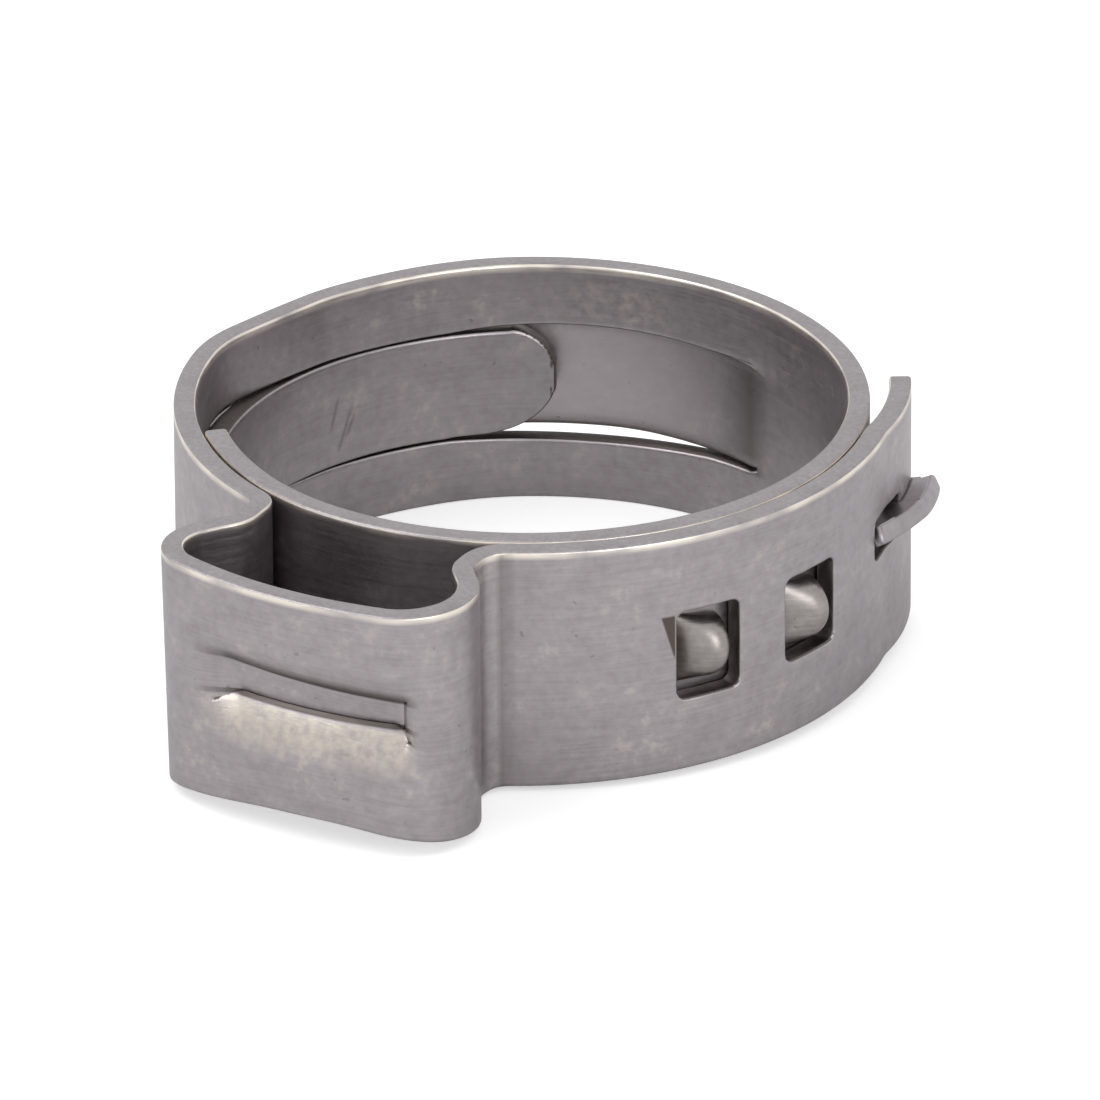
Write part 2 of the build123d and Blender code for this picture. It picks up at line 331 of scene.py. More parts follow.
# Lengths along the strip where a column of the grid stands. Each pair is the angle that a stretch
# runs to and its even step, fine where the strip is bent, pressed or pierced.
def columns():
    steps = (
        (23.0, 0.3), (5.5, 0.1), (-3.0, 0.25), (-41.0, 0.1), (-64.0, 0.3), (-121.0, 0.1),
        (channel["start"], 0.35), (jog["end"] - 6, 0.2), (channel["rampStart"], 0.3),
        (channel["end"], 0.2), (-295.0, 0.2), (-326.0, 0.35), (-355.0, 0.1), (-366.0, 0.25),
        (-401.0, 0.12), (innerEnd["springStart"], 0.4), (innerEnd["shoulder"], 0.3),
        (tongue["tip"] + 11, 0.3), (tongue["tip"], 0.1),
    )
    at, out = 0.0, [0.0]
    for angle, step in steps:
        end = lengthAt(angle)
        n = max(int(round((end - at) / step)), 1)
        out.extend(np.linspace(at, end, n + 1)[1:])
        at = end
    return np.array(out)


# Rows across the strip's width, in millimetres above its lower edge: even in each rail, and as
# many between them as the groove needs.
def rows():
    low, high, gap, count = channel["low"], channel["high"], channel["gap"], strip["railRows"]
    middle = np.linspace(low + gap, high - gap, len(groove["rows"]))
    return np.concatenate([np.linspace(0, low, count), middle, np.linspace(high, strip["width"], count)])


# Signed distance from the outline of a box with round corners, below zero inside it.
def roundBox(s, v, centre, half, radius):
    q = np.stack([np.abs(s - centre[0]), np.abs(v - centre[1])]) - np.array(half)[:, None] + radius
    outside = np.hypot(*np.maximum(q, 0))
    return outside + np.minimum(q.max(0), 0) - radius


# Signed distance from what the strip lacks: the slot and the windows of its outer layer, the
# hollows and the blank of its inner layer, and what lies outside the tongue's round end.
def missing(s, v):
    near = []
    for window, shear in zip(windows, hook["shears"]):
        at = lengthAt(window["angle"]), window["level"]
        near.append(roundBox(s, v, at, (window["length"] / 2, window["height"] / 2), window["corner"]))
        at = lengthAt(shear - 360) + hook["hollow"] / 2, hook["level"]
        narrow = hook["width"] / 2 - hook["wall"]
        near.append(roundBox(s, v, at, (hook["hollow"] / 2, narrow), hook["hollowCorner"]))
    at = lengthAt(slot["angle"]), slot["level"]
    near.append(roundBox(s, v, at, (slot["length"] / 2, slot["height"] / 2), slot["corner"]))
    relief = guide["relief"]
    high = guide["level"] + guide["bend"] + strip["thickness"]
    low = high - guide["blank"]
    start, end = slot["angle"] - guideTurn(), slot["angle"] + guideTurn()
    for first, last, top in ((start, end, high), (end, guide["noseAngle"], low + guide["noseRise"])):
        a, b = lengthAt(last - 360) - relief, lengthAt(first - 360) + relief
        half = (b - a) / 2, (top - low) / 2
        near.append(roundBox(s, v, ((a + b) / 2, (low + top) / 2), half, guide["blankCorner"]))
    half = (channel["high"] - channel["low"]) / 2 - channel["gap"]
    tip = lengths[-1]
    centre = tip - tongue["end"], strip["width"] / 2
    ending = roundBox(s, v, centre, (tongue["end"], half), tongue["corner"])
    aside = (s - tip + tongue["sweep"]) / tongue["sweep"], (v - strip["width"] / 2) / half
    swept = (np.hypot(*aside) - 1) * half
    ending = np.where((aside[0] > 0) & (aside[1] < 0), swept, ending)
    near.append(np.where(s > tip - tongue["end"], -ending, 1.0))
    return np.min(near, axis=0)


# Half the angle over which the guide hook's root runs.
def guideTurn():
    return math.degrees(guide["root"] / 2 / strip["outerMid"])


# The bridge over the tongue stays out while the rails step in: its radius settles past the jog, then
# ramps in, and past the slits the rest of the ramp fades into the full width as a shallow dent. The
# rails lie a little flatter than the ring just past the jog.
def overTongue(x, y, s, v, angle):
    inChannel = (s > lengthAt(channel["start"])) & (s <= lengthAt(channel["end"]))
    half = channel["gap"] / 2
    bridge = inChannel & (v > channel["low"] + half) & (v < channel["high"] - half)
    settled = smooth((jog["start"] - angle) / (jog["start"] - channel["settle"]))
    ramped = (channel["rampStart"] - angle) / (channel["rampStart"] - channel["rampEnd"])
    ramped = softMin(-softMin(-ramped, 0, channel["rampSoft"]), 1, channel["rampSoft"])
    out = (strip["outerMid"] - strip["innerMid"]) * (1 - ramped)
    radius = strip["innerMid"] + out - jog["sink"] * (1 - settled)
    radius = np.where(angle > jog["start"], np.hypot(x, y), radius)
    past = (s > lengthAt(channel["end"])) & (angle > channel["dentEnd"])
    dent = out * smooth((channel["dentHalf"] - np.abs(v - strip["width"] / 2)) / channel["dentFade"])
    radius = np.where(past, np.hypot(x, y) + dent, radius)
    moved = polar(radius, angle)
    x, y = (np.where(bridge | past, moved[..., k], kept) for k, kept in enumerate((x, y)))
    share = smooth(1 - np.abs(angle - jog["flatAngle"]) / jog["flatSpread"])
    flatter = np.where(inChannel & ~bridge, 1 - jog["flat"] / strip["innerMid"] * share, 1)
    return x * flatter, y * flatter


# Heights in the rails, whose edges along the slits are hollowed as a parabola.
def hollowed(v, s, angle):
    inChannel = (s > lengthAt(channel["start"])) & (s <= lengthAt(channel["end"]))
    turned = angle - channel["hollowAngle"]
    across = strip["innerMid"] * np.sin(np.radians(turned))
    hollow = channel["hollow"] * np.maximum(0, 1 - (2 * across / channel["hollowLength"]) ** 2)
    hollow = np.where(inChannel & (np.abs(turned) < 60), hollow, 0)
    z = np.where(v <= channel["low"], v * (1 - hollow / channel["low"]), v)
    down = (strip["width"] - v) * (1 - hollow / (strip["width"] - channel["high"]))
    return np.where(v >= channel["high"], strip["width"] - down, z)


# How far the lower edge stands up: at the ear as a power of the way out to its face, less at both
# corners, and in the outer layer evenly more towards the free end.
def lowerEdge(x, y, angle):
    out = np.clip((-y - ear["riseStart"]) / (ear["riseEnd"] - ear["riseStart"]), 0, 1.2)
    start, length, drop = ear["dropLeft"]
    corners = 1 - drop * smooth((start - x) / length)
    start, length, drop = ear["dropRight"]
    corners = corners - drop * smooth((x - start) / length)
    turned = (angle - bandRise["start"]) / (bandRise["end"] - bandRise["start"])
    lifted = bandRise["low"] + (bandRise["high"] - bandRise["low"]) * np.clip(turned, 0, 1)
    lifted = lifted * smooth((angle - bandRise["from"]) / bandRise["fade"])
    return ear["rise"] * corners * out ** ear["risePower"] + lifted


# How far the groove is pressed in at a height, between the rim and the low end of its bulging wall.
# The valley's height droops at both ends, and each end fades over its own length.
def grooveDepth(x, z):
    fold = groove["fold"][0] + groove["fold"][1] * (x - ear["centre"][0])
    start, length, fall = groove["droopLeft"]
    leftEnd = smooth((start - x) / length)
    valley = groove["valley"] - fall * leftEnd
    start, length, fall = groove["droopRight"]
    rightEnd = smooth((x - start) / length)
    valley = valley - fall * rightEnd
    roll = groove["foldDepth"] * smooth((groove["rim"] - z) / (groove["rim"] - fold)) ** 1.2
    down = np.clip((fold - z) / (fold - valley), 0, 1)
    wall = np.where(z > fold, roll, groove["foldDepth"] + (groove["depth"] - groove["foldDepth"]) * down)
    below = np.clip((valley - z) / (valley - groove["low"]), 0, 1)
    wall = np.where(z > valley, wall, groove["depth"] * (1 - below) ** groove["pillow"])
    crease = np.exp(-(((z - valley) / groove["creaseWidth"]) ** 2))
    wall = wall + groove["crease"] * (1 - leftEnd) * (1 - rightEnd) * crease
    bulge = smooth((valley - z) / groove["bulgeHeight"])
    left = smooth((x - groove["left"][0] - groove["bulgeLeft"] * bulge) / groove["left"][1])
    right = smooth((groove["right"][0] - groove["bulgeRight"] * bulge - x) / groove["right"][1])
    return wall * left * right


# Presses the groove: no point of the ear's face stands further from the centre of its bow than the
# groove's depth allows.
def grooved(x, y, z):
    depth = grooveDepth(x, z)
    fromCentre = np.stack([x, y]) - ear["centre"][:, None]
    reach = np.linalg.norm(fromCentre, axis=0)
    allowed = softMin(reach, ear["faceRadius"] - depth, 0.03)
    pressed = np.where((y < -ear["riseStart"]) & (depth > 1e-3), allowed / reach, 1.0)
    return ear["centre"][:, None] + fromCentre * pressed


# Where the strip's middle surface lies, for lengths along it and heights across it.
def place(s, v):
    angle = np.interp(s, lengths, ringAngles)
    x, y = (np.interp(s, lengths, line[:, k]) for k in (0, 1))
    x, y = overTongue(x, y, s, v, angle)
    lowness = 1 - v / strip["width"]
    z = hollowed(v, s, angle) + lowerEdge(x, y, angle) * lowness
    (startX, startY), (lengthX, lengthY) = ear["leanStart"], ear["leanLength"]
    leaning = smooth((startX - x) / lengthX) * smooth((startY - y) / lengthY)
    x = x + leaning * (ear["lean"][0] + ear["lean"][1] * lowness)
    return np.column_stack([*grooved(x, y, z), z])


# Makes a mesh object from points in millimetres, quads, and a length and a height for each point,
# which become its UV map.
def meshObject(name, points, faces, flat):
    mesh = bpy.data.meshes.new(name)
    mesh.from_pydata((np.asarray(points) / 1000).tolist(), [], np.asarray(faces).tolist())
    layer = mesh.uv_layers.new(name="strip")
    corner = np.empty(len(mesh.loops), np.int32)
    mesh.loops.foreach_get("vertex_index", corner)
    layer.data.foreach_set("uv", np.asarray(flat)[corner].astype(np.float32).ravel())
    mesh.polygons.foreach_set("use_smooth", np.ones(len(mesh.polygons), bool))
    piece = bpy.data.objects.new(name, mesh)
    bpy.context.scene.collection.objects.link(piece)
    return piece


# Quads between neighbours of a grid of point numbers.
def quads(numbers):
    a, b = numbers[:-1, :-1], numbers[1:, :-1]
    c, d = numbers[1:, 1:], numbers[:-1, 1:]
    return np.stack([a, b, c, d], -1).reshape(-1, 4)


# Gives a sheet its thickness, with its sheared faces in the second material.
def thicken(piece, thickness):
    solid = piece.modifiers.new("thickness", "SOLIDIFY")
    solid.thickness = thickness / 1000
    solid.offset = 0
    solid.use_rim = True
    solid.material_offset_rim = 1
    ready = bpy.data.meshes.new_from_object(piece.evaluated_get(bpy.context.evaluated_depsgraph_get()))
    piece.modifiers.clear()
    piece.data = ready


# Rounds the edges between rolled and sheared faces, and the square corners between sheared ones.
def roundEdges(piece, width, chosen=lambda edge: True):
    work = bmesh.new()
    work.from_mesh(piece.data)
    sharp = []
    for edge in work.edges:
        kinds = [face.material_index for face in edge.link_faces]
        if kinds in ([0, 1], [1, 0]) or kinds == [1, 1] and edge.calc_face_angle() > 1.3:
            if chosen(edge):
                sharp.append(edge)
    bmesh.ops.bevel(
        work, geom=sharp, offset=width / 1000, offset_type="OFFSET", segments=3, profile=0.5,
        affect="EDGES", clamp_overlap=False, material=-1,
    )
    work.to_mesh(piece.data)
    work.free()


# Whether an edge of the fin stands out past the outer layer.
def standsClear(edge):
    clear = 0.25
    ends = [(1000 * v.co.xy.length, math.degrees(math.atan2(v.co.y, v.co.x))) for v in edge.verts]
    return all(radius > flaredFace(angle) + clear for radius, angle in ends)


# The strip as one grid of columns along it and rows across it. Cells where steel is missing are
# left out, and the points on their borders are moved onto the outline.
def coiledStrip():
    s, v = np.meshgrid(columns(), rows(), indexing="ij")
    # across the ear's face the middle rows draw together, where the groove is folded
    eared = (-np.interp(s[:, :1], lengths, line[:, 1]) - groove["rowsStart"]) / groove["rowsLength"]
    eared = smooth(eared)
    middle = v[:, strip["railRows"] : -strip["railRows"]]
    middle += eared * (np.array(groove["rows"]) - middle)
    cs = (s[:-1, :-1] + s[1:, 1:]) / 2
    cv = (v[:-1, :-1] + v[1:, 1:]) / 2
    gone = missing(cs.ravel(), cv.ravel()).reshape(cs.shape) < 0
    low, high = channel["low"], channel["high"]
    inChannel = (cs > lengthAt(channel["start"])) & (cs < lengthAt(channel["end"]))
    half = channel["gap"] / 2
    slit = np.minimum(np.abs(cv - low - half), np.abs(cv - high + half)) < half - 1e-3
    beside = (cv < low + channel["gap"]) | (cv > high - channel["gap"])
    kept = ~gone & ~(inChannel & slit) & ~((cs > lengthAt(innerEnd["shoulder"])) & beside)

    touches = np.zeros((2, *s.shape), bool)
    for i, cells in enumerate((gone, ~gone)):
        for di in (0, 1):
            for dj in (0, 1):
                touches[i, di : di + cs.shape[0], dj : dj + cs.shape[1]] |= cells
    edge = touches.all(0)
    for turns in range(3):
        d = missing(s[edge], v[edge])
        h = 1e-3
        ds = (missing(s[edge] + h, v[edge]) - missing(s[edge] - h, v[edge])) / (2 * h)
        dv = (missing(s[edge], v[edge] + h) - missing(s[edge], v[edge] - h)) / (2 * h)
        size = np.maximum(ds**2 + dv**2, 0.25)
        s[edge] -= d * ds / size
        v[edge] = np.clip(v[edge] - d * dv / size, 0, strip["width"])

    points = place(s.ravel(), v.ravel())
    numbers = np.arange(s.size).reshape(s.shape)
    faces = quads(numbers)[kept.ravel()]
    used = np.unique(faces)
    renumber = np.zeros(s.size, int)
    renumber[used] = np.arange(len(used))
    flat = np.stack([s.ravel(), v.ravel()], -1)[used]
    return meshObject("clampStrip", points[used], renumber[faces][:, ::-1], flat)


# The radius of the outer face where the outer layer springs up to its free end.
def flaredFace(angle):
    share = (angle - freeEnd["start"]) / (freeEnd["angle"] - freeEnd["start"])
    lift = freeEnd["lift"] * share + 4 * freeEnd["bow"] * share * (1 - share)
    return strip["outerMid"] + strip["half"] + lift


# The guide hook: its middle surface comes down the inner layer, bends outwards in a quarter turn,
# and runs on as a level fin, ruled between its root, throat and chin and its curved back.
def guideHook():
    start, end, nose = slot["angle"] - guideTurn(), slot["angle"] + guideTurn(), guide["noseAngle"]
    bend = guide["bend"] + strip["half"]
    centre = strip["innerMid"] + bend
    level = guide["level"] + strip["half"]
    count = guide["columns"]
    rootAngles = np.linspace(start, end, count)
    throat = polar(flaredFace(end) + guide["clearance"], end)
    lipAngles = np.linspace(end, nose, 13)[1:]
    lip = np.stack([polar(flaredFace(a) + guide["clearance"], a) for a in lipAngles])
    root = np.concatenate([polar(centre, rootAngles), straight(polar(centre, end), throat)[8::9], lip])
    outer = strip["outerMid"] + strip["half"]
    back = arcThrough(
        polar(outer + guide["heelRise"], start),
        polar(outer + guide["middleRise"], (start + nose) / 2),
        polar(flaredFace(nose) + guide["noseRise"], nose),
    )
    share = np.concatenate([[0], np.cumsum(np.linalg.norm(np.diff(root, axis=0), axis=1))])
    share = (share / share[-1]) ** 1.15
    step = np.linspace(0, 1, len(back))
    crest = np.stack([np.interp(share, step, back[:, k]) for k in (0, 1)], -1)
    fin = []
    for q in np.linspace(0, 1, 10):
        flat = (1 - q) * root + q * crest
        fin.append(np.column_stack([flat, np.full(len(flat), level + guide["tilt"] * q * q)]))
    stem = []
    for height in (level + bend + guide["edge"], level + bend):
        stem.append(np.column_stack([polar(strip["innerMid"], rootAngles), np.full(count, height)]))
    for t in np.radians(np.linspace(0, 90, 8))[1:-1]:
        radius, height = centre - bend * math.cos(t), level + bend - bend * math.sin(t)
        stem.append(np.column_stack([polar(radius, rootAngles), np.full(count, height)]))
    empty = np.full((len(root) - count, 3), np.nan)
    grid = np.stack([np.concatenate([r, empty]) for r in stem] + fin)
    faces = quads(np.arange(grid.shape[0] * grid.shape[1]).reshape(grid.shape[:2]))
    points = grid.reshape(-1, 3)
    faces = faces[~np.isnan(points[faces]).any((1, 2))]
    used = np.unique(faces)
    renumber = np.zeros(len(points), int)
    renumber[used] = np.arange(len(used))
    points = points[used]
    flat = np.column_stack([np.hypot(points[:, 0], points[:, 1]) * 3, points[:, 2]])
    return meshObject("guideHook", points, renumber[faces], flat)


# A pressed hook, open at its sheared end. Away from that end its height first rises a little, to
# the crest, and then falls to nothing as a smooth step. Across it each section is half an ellipse.
def pressedHook(shear):
    slopes = np.linspace(hook["nose"], hook["length"], 14)[1:]
    along = np.concatenate([np.linspace(0, hook["nose"], 7), slopes])
    nose = np.clip(1 - along / hook["nose"], 0, 1)
    slope = (along - hook["nose"]) / (hook["length"] - hook["nose"])
    tall = hook["crest"] * (1 - smooth(slope)) - hook["drop"] * nose**2
    wide = hook["width"] / 2 * (1 + hook["spread"] * smooth(slope) - hook["pinch"] * nose)
    turns = np.linspace(0, np.pi, 25)
    sides = []
    for wall in (0, hook["wall"]):
        high = np.maximum(tall - wall, -0.1)[:, None] * np.sin(turns)
        across = -(wide - wall)[:, None] * np.cos(turns)
        skirt = np.full((len(along), 1), -hook["skirt"])
        high = np.hstack([skirt, high, skirt])
        across = np.hstack([across[:, :1], across, across[:, -1:]])
        sides.append(np.stack([np.broadcast_to(along[:, None], high.shape), across, high], -1))
    n, m = sides[0].shape[:2]
    local = np.concatenate([p.reshape(-1, 3) for p in sides])
    outer = np.arange(n * m).reshape(n, m)
    inner = outer + n * m
    faces = np.concatenate([
        quads(outer), quads(inner)[:, ::-1],
        quads(np.stack([inner[0], outer[0]])),
        quads(np.stack([outer[-1], inner[-1]])),
        quads(np.stack([outer[:, 0], inner[:, 0]])),
        quads(np.stack([inner[:, -1], outer[:, -1]])),
    ])
    radius = strip["bore"] + strip["thickness"] - 0.02 + local[:, 2]
    angle = shear - np.degrees(local[:, 0] / strip["outerMid"])
    points = np.column_stack([polar(radius, angle), hook["level"] + local[:, 1]])
    piece = meshObject("pressedHook", points, faces, local[:, :2])
    first = 2 * len(quads(outer))   # the quads of its sheared end come after both walls
    for polygon in piece.data.polygons[first : first + m - 1]:
        polygon.material_index = 1
    work = bmesh.new()
    work.from_mesh(piece.data)
    bmesh.ops.remove_doubles(work, verts=work.verts, dist=1e-7)
    bmesh.ops.recalc_face_normals(work, faces=work.faces)
    work.to_mesh(piece.data)
    work.free()
    return piece


# A material's nodes, by short names.
class Nodes:
    def __init__(self, material):
        material.use_nodes = True
        self.tree = material.node_tree
        self.shader = self.tree.nodes["Principled BSDF"]

    def add(self, kind, inputs=(), **settings):
        node = self.tree.nodes.new(kind)
        for key, value in settings.items():
            setattr(node, key, value)
        for key, value in dict(inputs).items():
            self.feed(value, node.inputs[key])
        return node

    def feed(self, value, socket):
        if isinstance(value, bpy.types.NodeSocket):
            self.tree.links.new(value, socket)
        else:
            socket.default_value = value

    def math(self, operation, a, b=0.0):
        return self.add("ShaderNodeMath", {0: a, 1: b}, operation=operation).outputs[0]

    def times(self, *values):
        product = values[0]
        for value in values[1:]:
            product = self.math("MULTIPLY", product, value)
        return product

    # Fractal noise on coordinates that are first scaled, along each axis by its own factor.
    def noise(self, coords, scale, detail=3.0, rough=0.6):
        scaled = self.add("ShaderNodeVectorMath", {0: coords, 1: scale}, operation="MULTIPLY")
        inputs = {"Vector": scaled.outputs[0], "Scale": 1.0, "Detail": detail, "Roughness": rough}
        return self.add("ShaderNodeTexNoise", inputs).outputs["Fac"]

    # A value brought from one range to another, and held inside it.
    def ranged(self, value, low, high, outLow=0.0, outHigh=1.0):
        inputs = {"Value": value, "From Min": low, "From Max": high, "To Min": outLow, "To Max": outHigh}
        return self.add("ShaderNodeMapRange", inputs).outputs[0]

    # One inside a stretch and nothing outside it: it rises from a to b and falls from c to d.
    def stretch(self, value, a, b, c, d):
        return self.times(self.ranged(value, a, b), self.ranged(value, d, c))

    def mix(self, factor, a, b):
        node = self.add("ShaderNodeMix", data_type="RGBA")
        self.feed(factor, node.inputs["Factor"])
        self.feed(a, node.inputs[6])
        self.feed(b, node.inputs[7])
        return node.outputs[2]

    # Finishes a metal: its colour, its roughness, and a bump of so many metres under a height.
    def metal(self, colour, rough, height, strength, depth):
        bump = self.add("ShaderNodeBump", {"Strength": strength, "Distance": depth, "Height": height})
        wanted = {"Base Color": colour, "Metallic": 1.0, "Roughness": rough, "Normal": bump.outputs[0]}
        for key, value in wanted.items():
            self.feed(value, self.shader.inputs[key])


# The steel's own colours, those of what lies on it, and the colours of painted highlight and painted shade.
colours = {
    "steel": (0.462, 0.428, 0.446, 1),
    "dull": (0.362, 0.333, 0.347, 1),
    "pressed": (0.43, 0.40, 0.385, 1),
    "pressedDull": (0.29, 0.265, 0.255, 1),
    "sheared": (0.45, 0.42, 0.43, 1),
    "shearedDull": (0.33, 0.31, 0.315, 1),
    # painted light on the bridge over the tongue
    "bridge": (0.72, 0.665, 0.68, 1),
    # painted highlight along the rounded upper edge
    "edgeHighlight": (0.92, 0.85, 0.76, 1),
    # pale scuffs, and the painted highlight on the groove's bulging wall
    "cream": (0.67, 0.605, 0.525, 1),
    "pit": (0.16, 0.13, 0.12, 1),
    "shade": (0.20, 0.178, 0.175, 1),
    # painted shade of the dent beside the first window, and the tongue's scratches
    "scratchAndDentShade": (0.12, 0.10, 0.09, 1),
    # painted shade in the groove's fold and crease
    "grooveShade": (0.09, 0.077, 0.07, 1),
    # painted shade on the sheared edges in the windows and slits
    "shearedShade": (0.13, 0.11, 0.095, 1),
}

# Where the strip is worn and where highlight and shade are painted on it, as angles round the ring or
# as heights across it. Each stretch comes up over its first two values and goes down over its last two.
wearAndPaintedLight = {
    # rows of the painted highlight along the upper edge
    "edgeHighlightRows": (6.74, 6.87),
    # painted light on the bridge, and the rows across it, which also bound the painted shade on the ramp
    "bridge": (-222, -234, -266, -280),
    "bridgeRows": (1.95, 2.3, 4.7, 5.0),
    "rail": (-247, -252, -265, -271),       # pale scuffs inside the upper rail
    "railRows": (5.2, 5.5, 6.2, 6.7),
    "foot": (-64.6, -68.8),                 # painted shade beside the ear's foot
    "ramp": (-278, -292),                   # painted shade on the channel's ramp
    "wedgeRows": (3.4, 3.5, 4.66, 4.72),    # painted shade of a pinched dent: a wedge beside the first window
    "wedge": (3.45, 4.66, 0.02, 0.36),      # its lower and upper end, and how wide it is there
    # scratches on the tongue: angle, lower and upper end, slope
    "scratches": ((-565.2, 2.2, 3.7, 0.4), (-566.6, 2.6, 3.5, 0.5), (-562.8, 2.9, 4.1, 0.3)),
}


# Inside the ear's groove its bulging lower wall gets a painted cream highlight, and painted shade
# darkens the roll above the fold and the valley's crease.
def grooveHighlightAndShade(n, colour, here, mottle):
    inMillimetres = n.add("ShaderNodeVectorMath", {0: here, 1: (1000, 1000, 1000)}, operation="MULTIPLY")
    x, y, z = n.add("ShaderNodeSeparateXYZ", {0: inMillimetres.outputs[0]}).outputs
    face = n.times(n.stretch(x, -2.9, -1.7, 3.3, 3.75), n.ranged(y, -11.6, -12.0))
    # painted highlight: the bulging lower wall below the valley is lit cream, in patches
    pillow = n.times(face, n.stretch(z, 2.2, 2.9, 3.42, 3.5), n.ranged(mottle, 0.3, 0.62, 0.25, 0.85))
    colour = n.mix(pillow, colour, colours["cream"])
    # painted shade: the roll above the fold and the valley's crease are darkened
    aboveFold = n.math("ADD", z, n.times(x, -groove["fold"][1]))
    roll = n.times(n.ranged(aboveFold, 4.47, 4.53), n.ranged(aboveFold, 4.92, 4.56, 0.0, 0.85))
    fromValley = n.math("ABSOLUTE", n.math("SUBTRACT", z, groove["valley"] + 0.02))
    crease = n.ranged(fromValley, 0.1, 0.055, 0.0, 0.95)
    return n.mix(n.times(face, n.math("MAXIMUM", roll, crease)), colour, colours["grooveShade"])


# How dark the painted shade of the wedge-shaped dent beside the first window and the scratches on the tongue
# are.
def dentShadeAndScratches(n, along, across):
    window = windows[0]
    # painted shade of the pinched dent beside the first window
    beside = n.math("SUBTRACT", along, lengthAt(window["angle"]) + window["length"] / 2 + strip["edge"])
    past = n.math("SUBTRACT", beside, n.ranged(across, *wearAndPaintedLight["wedge"]))
    dark = n.times(n.ranged(past, 0.02, -0.03), n.ranged(beside, -0.02, 0.0))
    dark = n.times(dark, n.stretch(across, *wearAndPaintedLight["wedgeRows"]))
    for angle, low, high, slope in wearAndPaintedLight["scratches"]:
        slanted = n.math("SUBTRACT", along, n.times(across, slope))
        off = n.math("ABSOLUTE", n.math("SUBTRACT", slanted, lengthAt(angle) - slope * (low + high) / 2))
        scratchAndDentShade = n.stretch(across, low, low + 0.3, high - 0.4, high)
        dark = n.math("MAXIMUM", dark, n.times(n.ranged(off, 0.09, 0.02, 0.0, 0.4), scratchAndDentShade))
    return dark


# Along the strip: painted shade beside the ear's foot and on the ramp, the painted shade of the dent
# and the scratches, pale scuffs inside the upper rail, and painted light that makes the bridge brighter than
# its rails.
def stripWearAndPaintedLight(n, colour, along, across, mottle):
    # painted shade beside the ear's foot and on the channel's ramp
    start, end = (lengthAt(angle) for angle in wearAndPaintedLight["foot"])
    foot = n.stretch(along, start, start + 0.5, end - 0.25, end)
    start, end = (lengthAt(angle) for angle in wearAndPaintedLight["ramp"])
    middle = n.stretch(across, *wearAndPaintedLight["bridgeRows"])
    ramp = n.times(n.stretch(along, start, start + 1.2, end - 0.8, end), middle)
    shaded = n.math("MAXIMUM", n.times(foot, 0.6), n.times(ramp, 0.8))
    colour = n.mix(shaded, colour, colours["shade"])
    colour = n.mix(dentShadeAndScratches(n, along, across), colour, colours["scratchAndDentShade"])
    rail = n.stretch(along, *(lengthAt(angle) for angle in wearAndPaintedLight["rail"]))
    rail = n.times(rail, n.stretch(across, *wearAndPaintedLight["railRows"]), n.ranged(mottle, 0.42, 0.66, 0.0, 0.45))
    colour = n.mix(rail, colour, colours["cream"])
    # painted light: the bridge brighter than its rails
    bridge = n.times(n.stretch(along, *(lengthAt(angle) for angle in wearAndPaintedLight["bridge"])), middle, 0.5)
    return n.mix(bridge, colour, colours["bridge"])


# The rolled face: fine grain along the strip, soft clouds, a few pits and pale scuffs, and a painted
# highlight in patches along its upper edge.
def rolledFace(name, bright, dull):
    material = bpy.data.materials.new(name)
    n = Nodes(material)
    uv = n.add("ShaderNodeUVMap", uv_map="strip").outputs[0]
    along, across = n.add("ShaderNodeSeparateXYZ", {0: uv}).outputs[:2]
    here = n.add("ShaderNodeTexCoord").outputs["Object"]
    grain = n.noise(uv, (0.5, 11.0, 1.0), 4.0, 0.65)
    fine = n.noise(uv, (3.0, 26.0, 1.0), 2.0, 0.5)
    clouds = n.noise(here, (650.0, 650.0, 900.0), 3.0, 0.55)
    mottle = n.noise(here, (3200.0, 3200.0, 3200.0), 3.0, 0.6)
    pits = n.ranged(n.noise(here, (4300.0, 4300.0, 4300.0), 1.0, 0.4), 0.755, 0.81)
    scuffs = n.times(n.ranged(clouds, 0.53, 0.68), n.ranged(mottle, 0.5, 0.66))
    shade = n.math("ADD", n.times(grain, 0.35), n.times(mottle, 0.35))
    shade = n.math("ADD", shade, n.times(clouds, 0.3))
    colour = n.mix(n.ranged(shade, 0.38, 0.60), dull, bright)
    colour = n.mix(n.times(scuffs, 0.5), colour, colours["cream"])
    colour = n.mix(n.times(pits, 0.35), colour, colours["pit"])
    # painted highlight in patches along the upper edge
    patches = n.ranged(n.noise(uv, (0.45, 1.0, 1.0), 2.0, 0.6), 0.36, 0.56, 0.25, 1.0)
    colour = n.mix(n.times(n.ranged(across, *wearAndPaintedLight["edgeHighlightRows"]), patches), colour, colours["edgeHighlight"])
    colour = grooveHighlightAndShade(n, colour, here, mottle)
    colour = stripWearAndPaintedLight(n, colour, along, across, mottle)

    rough = n.math("ADD", n.ranged(grain, 0.3, 0.7, 0.30, 0.44), n.times(scuffs, 0.12))
    height = n.math("ADD", n.times(fine, 0.5), n.times(mottle, 0.5))
    height = n.math("SUBTRACT", height, n.times(pits, 0.6))
    n.metal(colour, rough, height, 0.35, 0.00002)
    return material


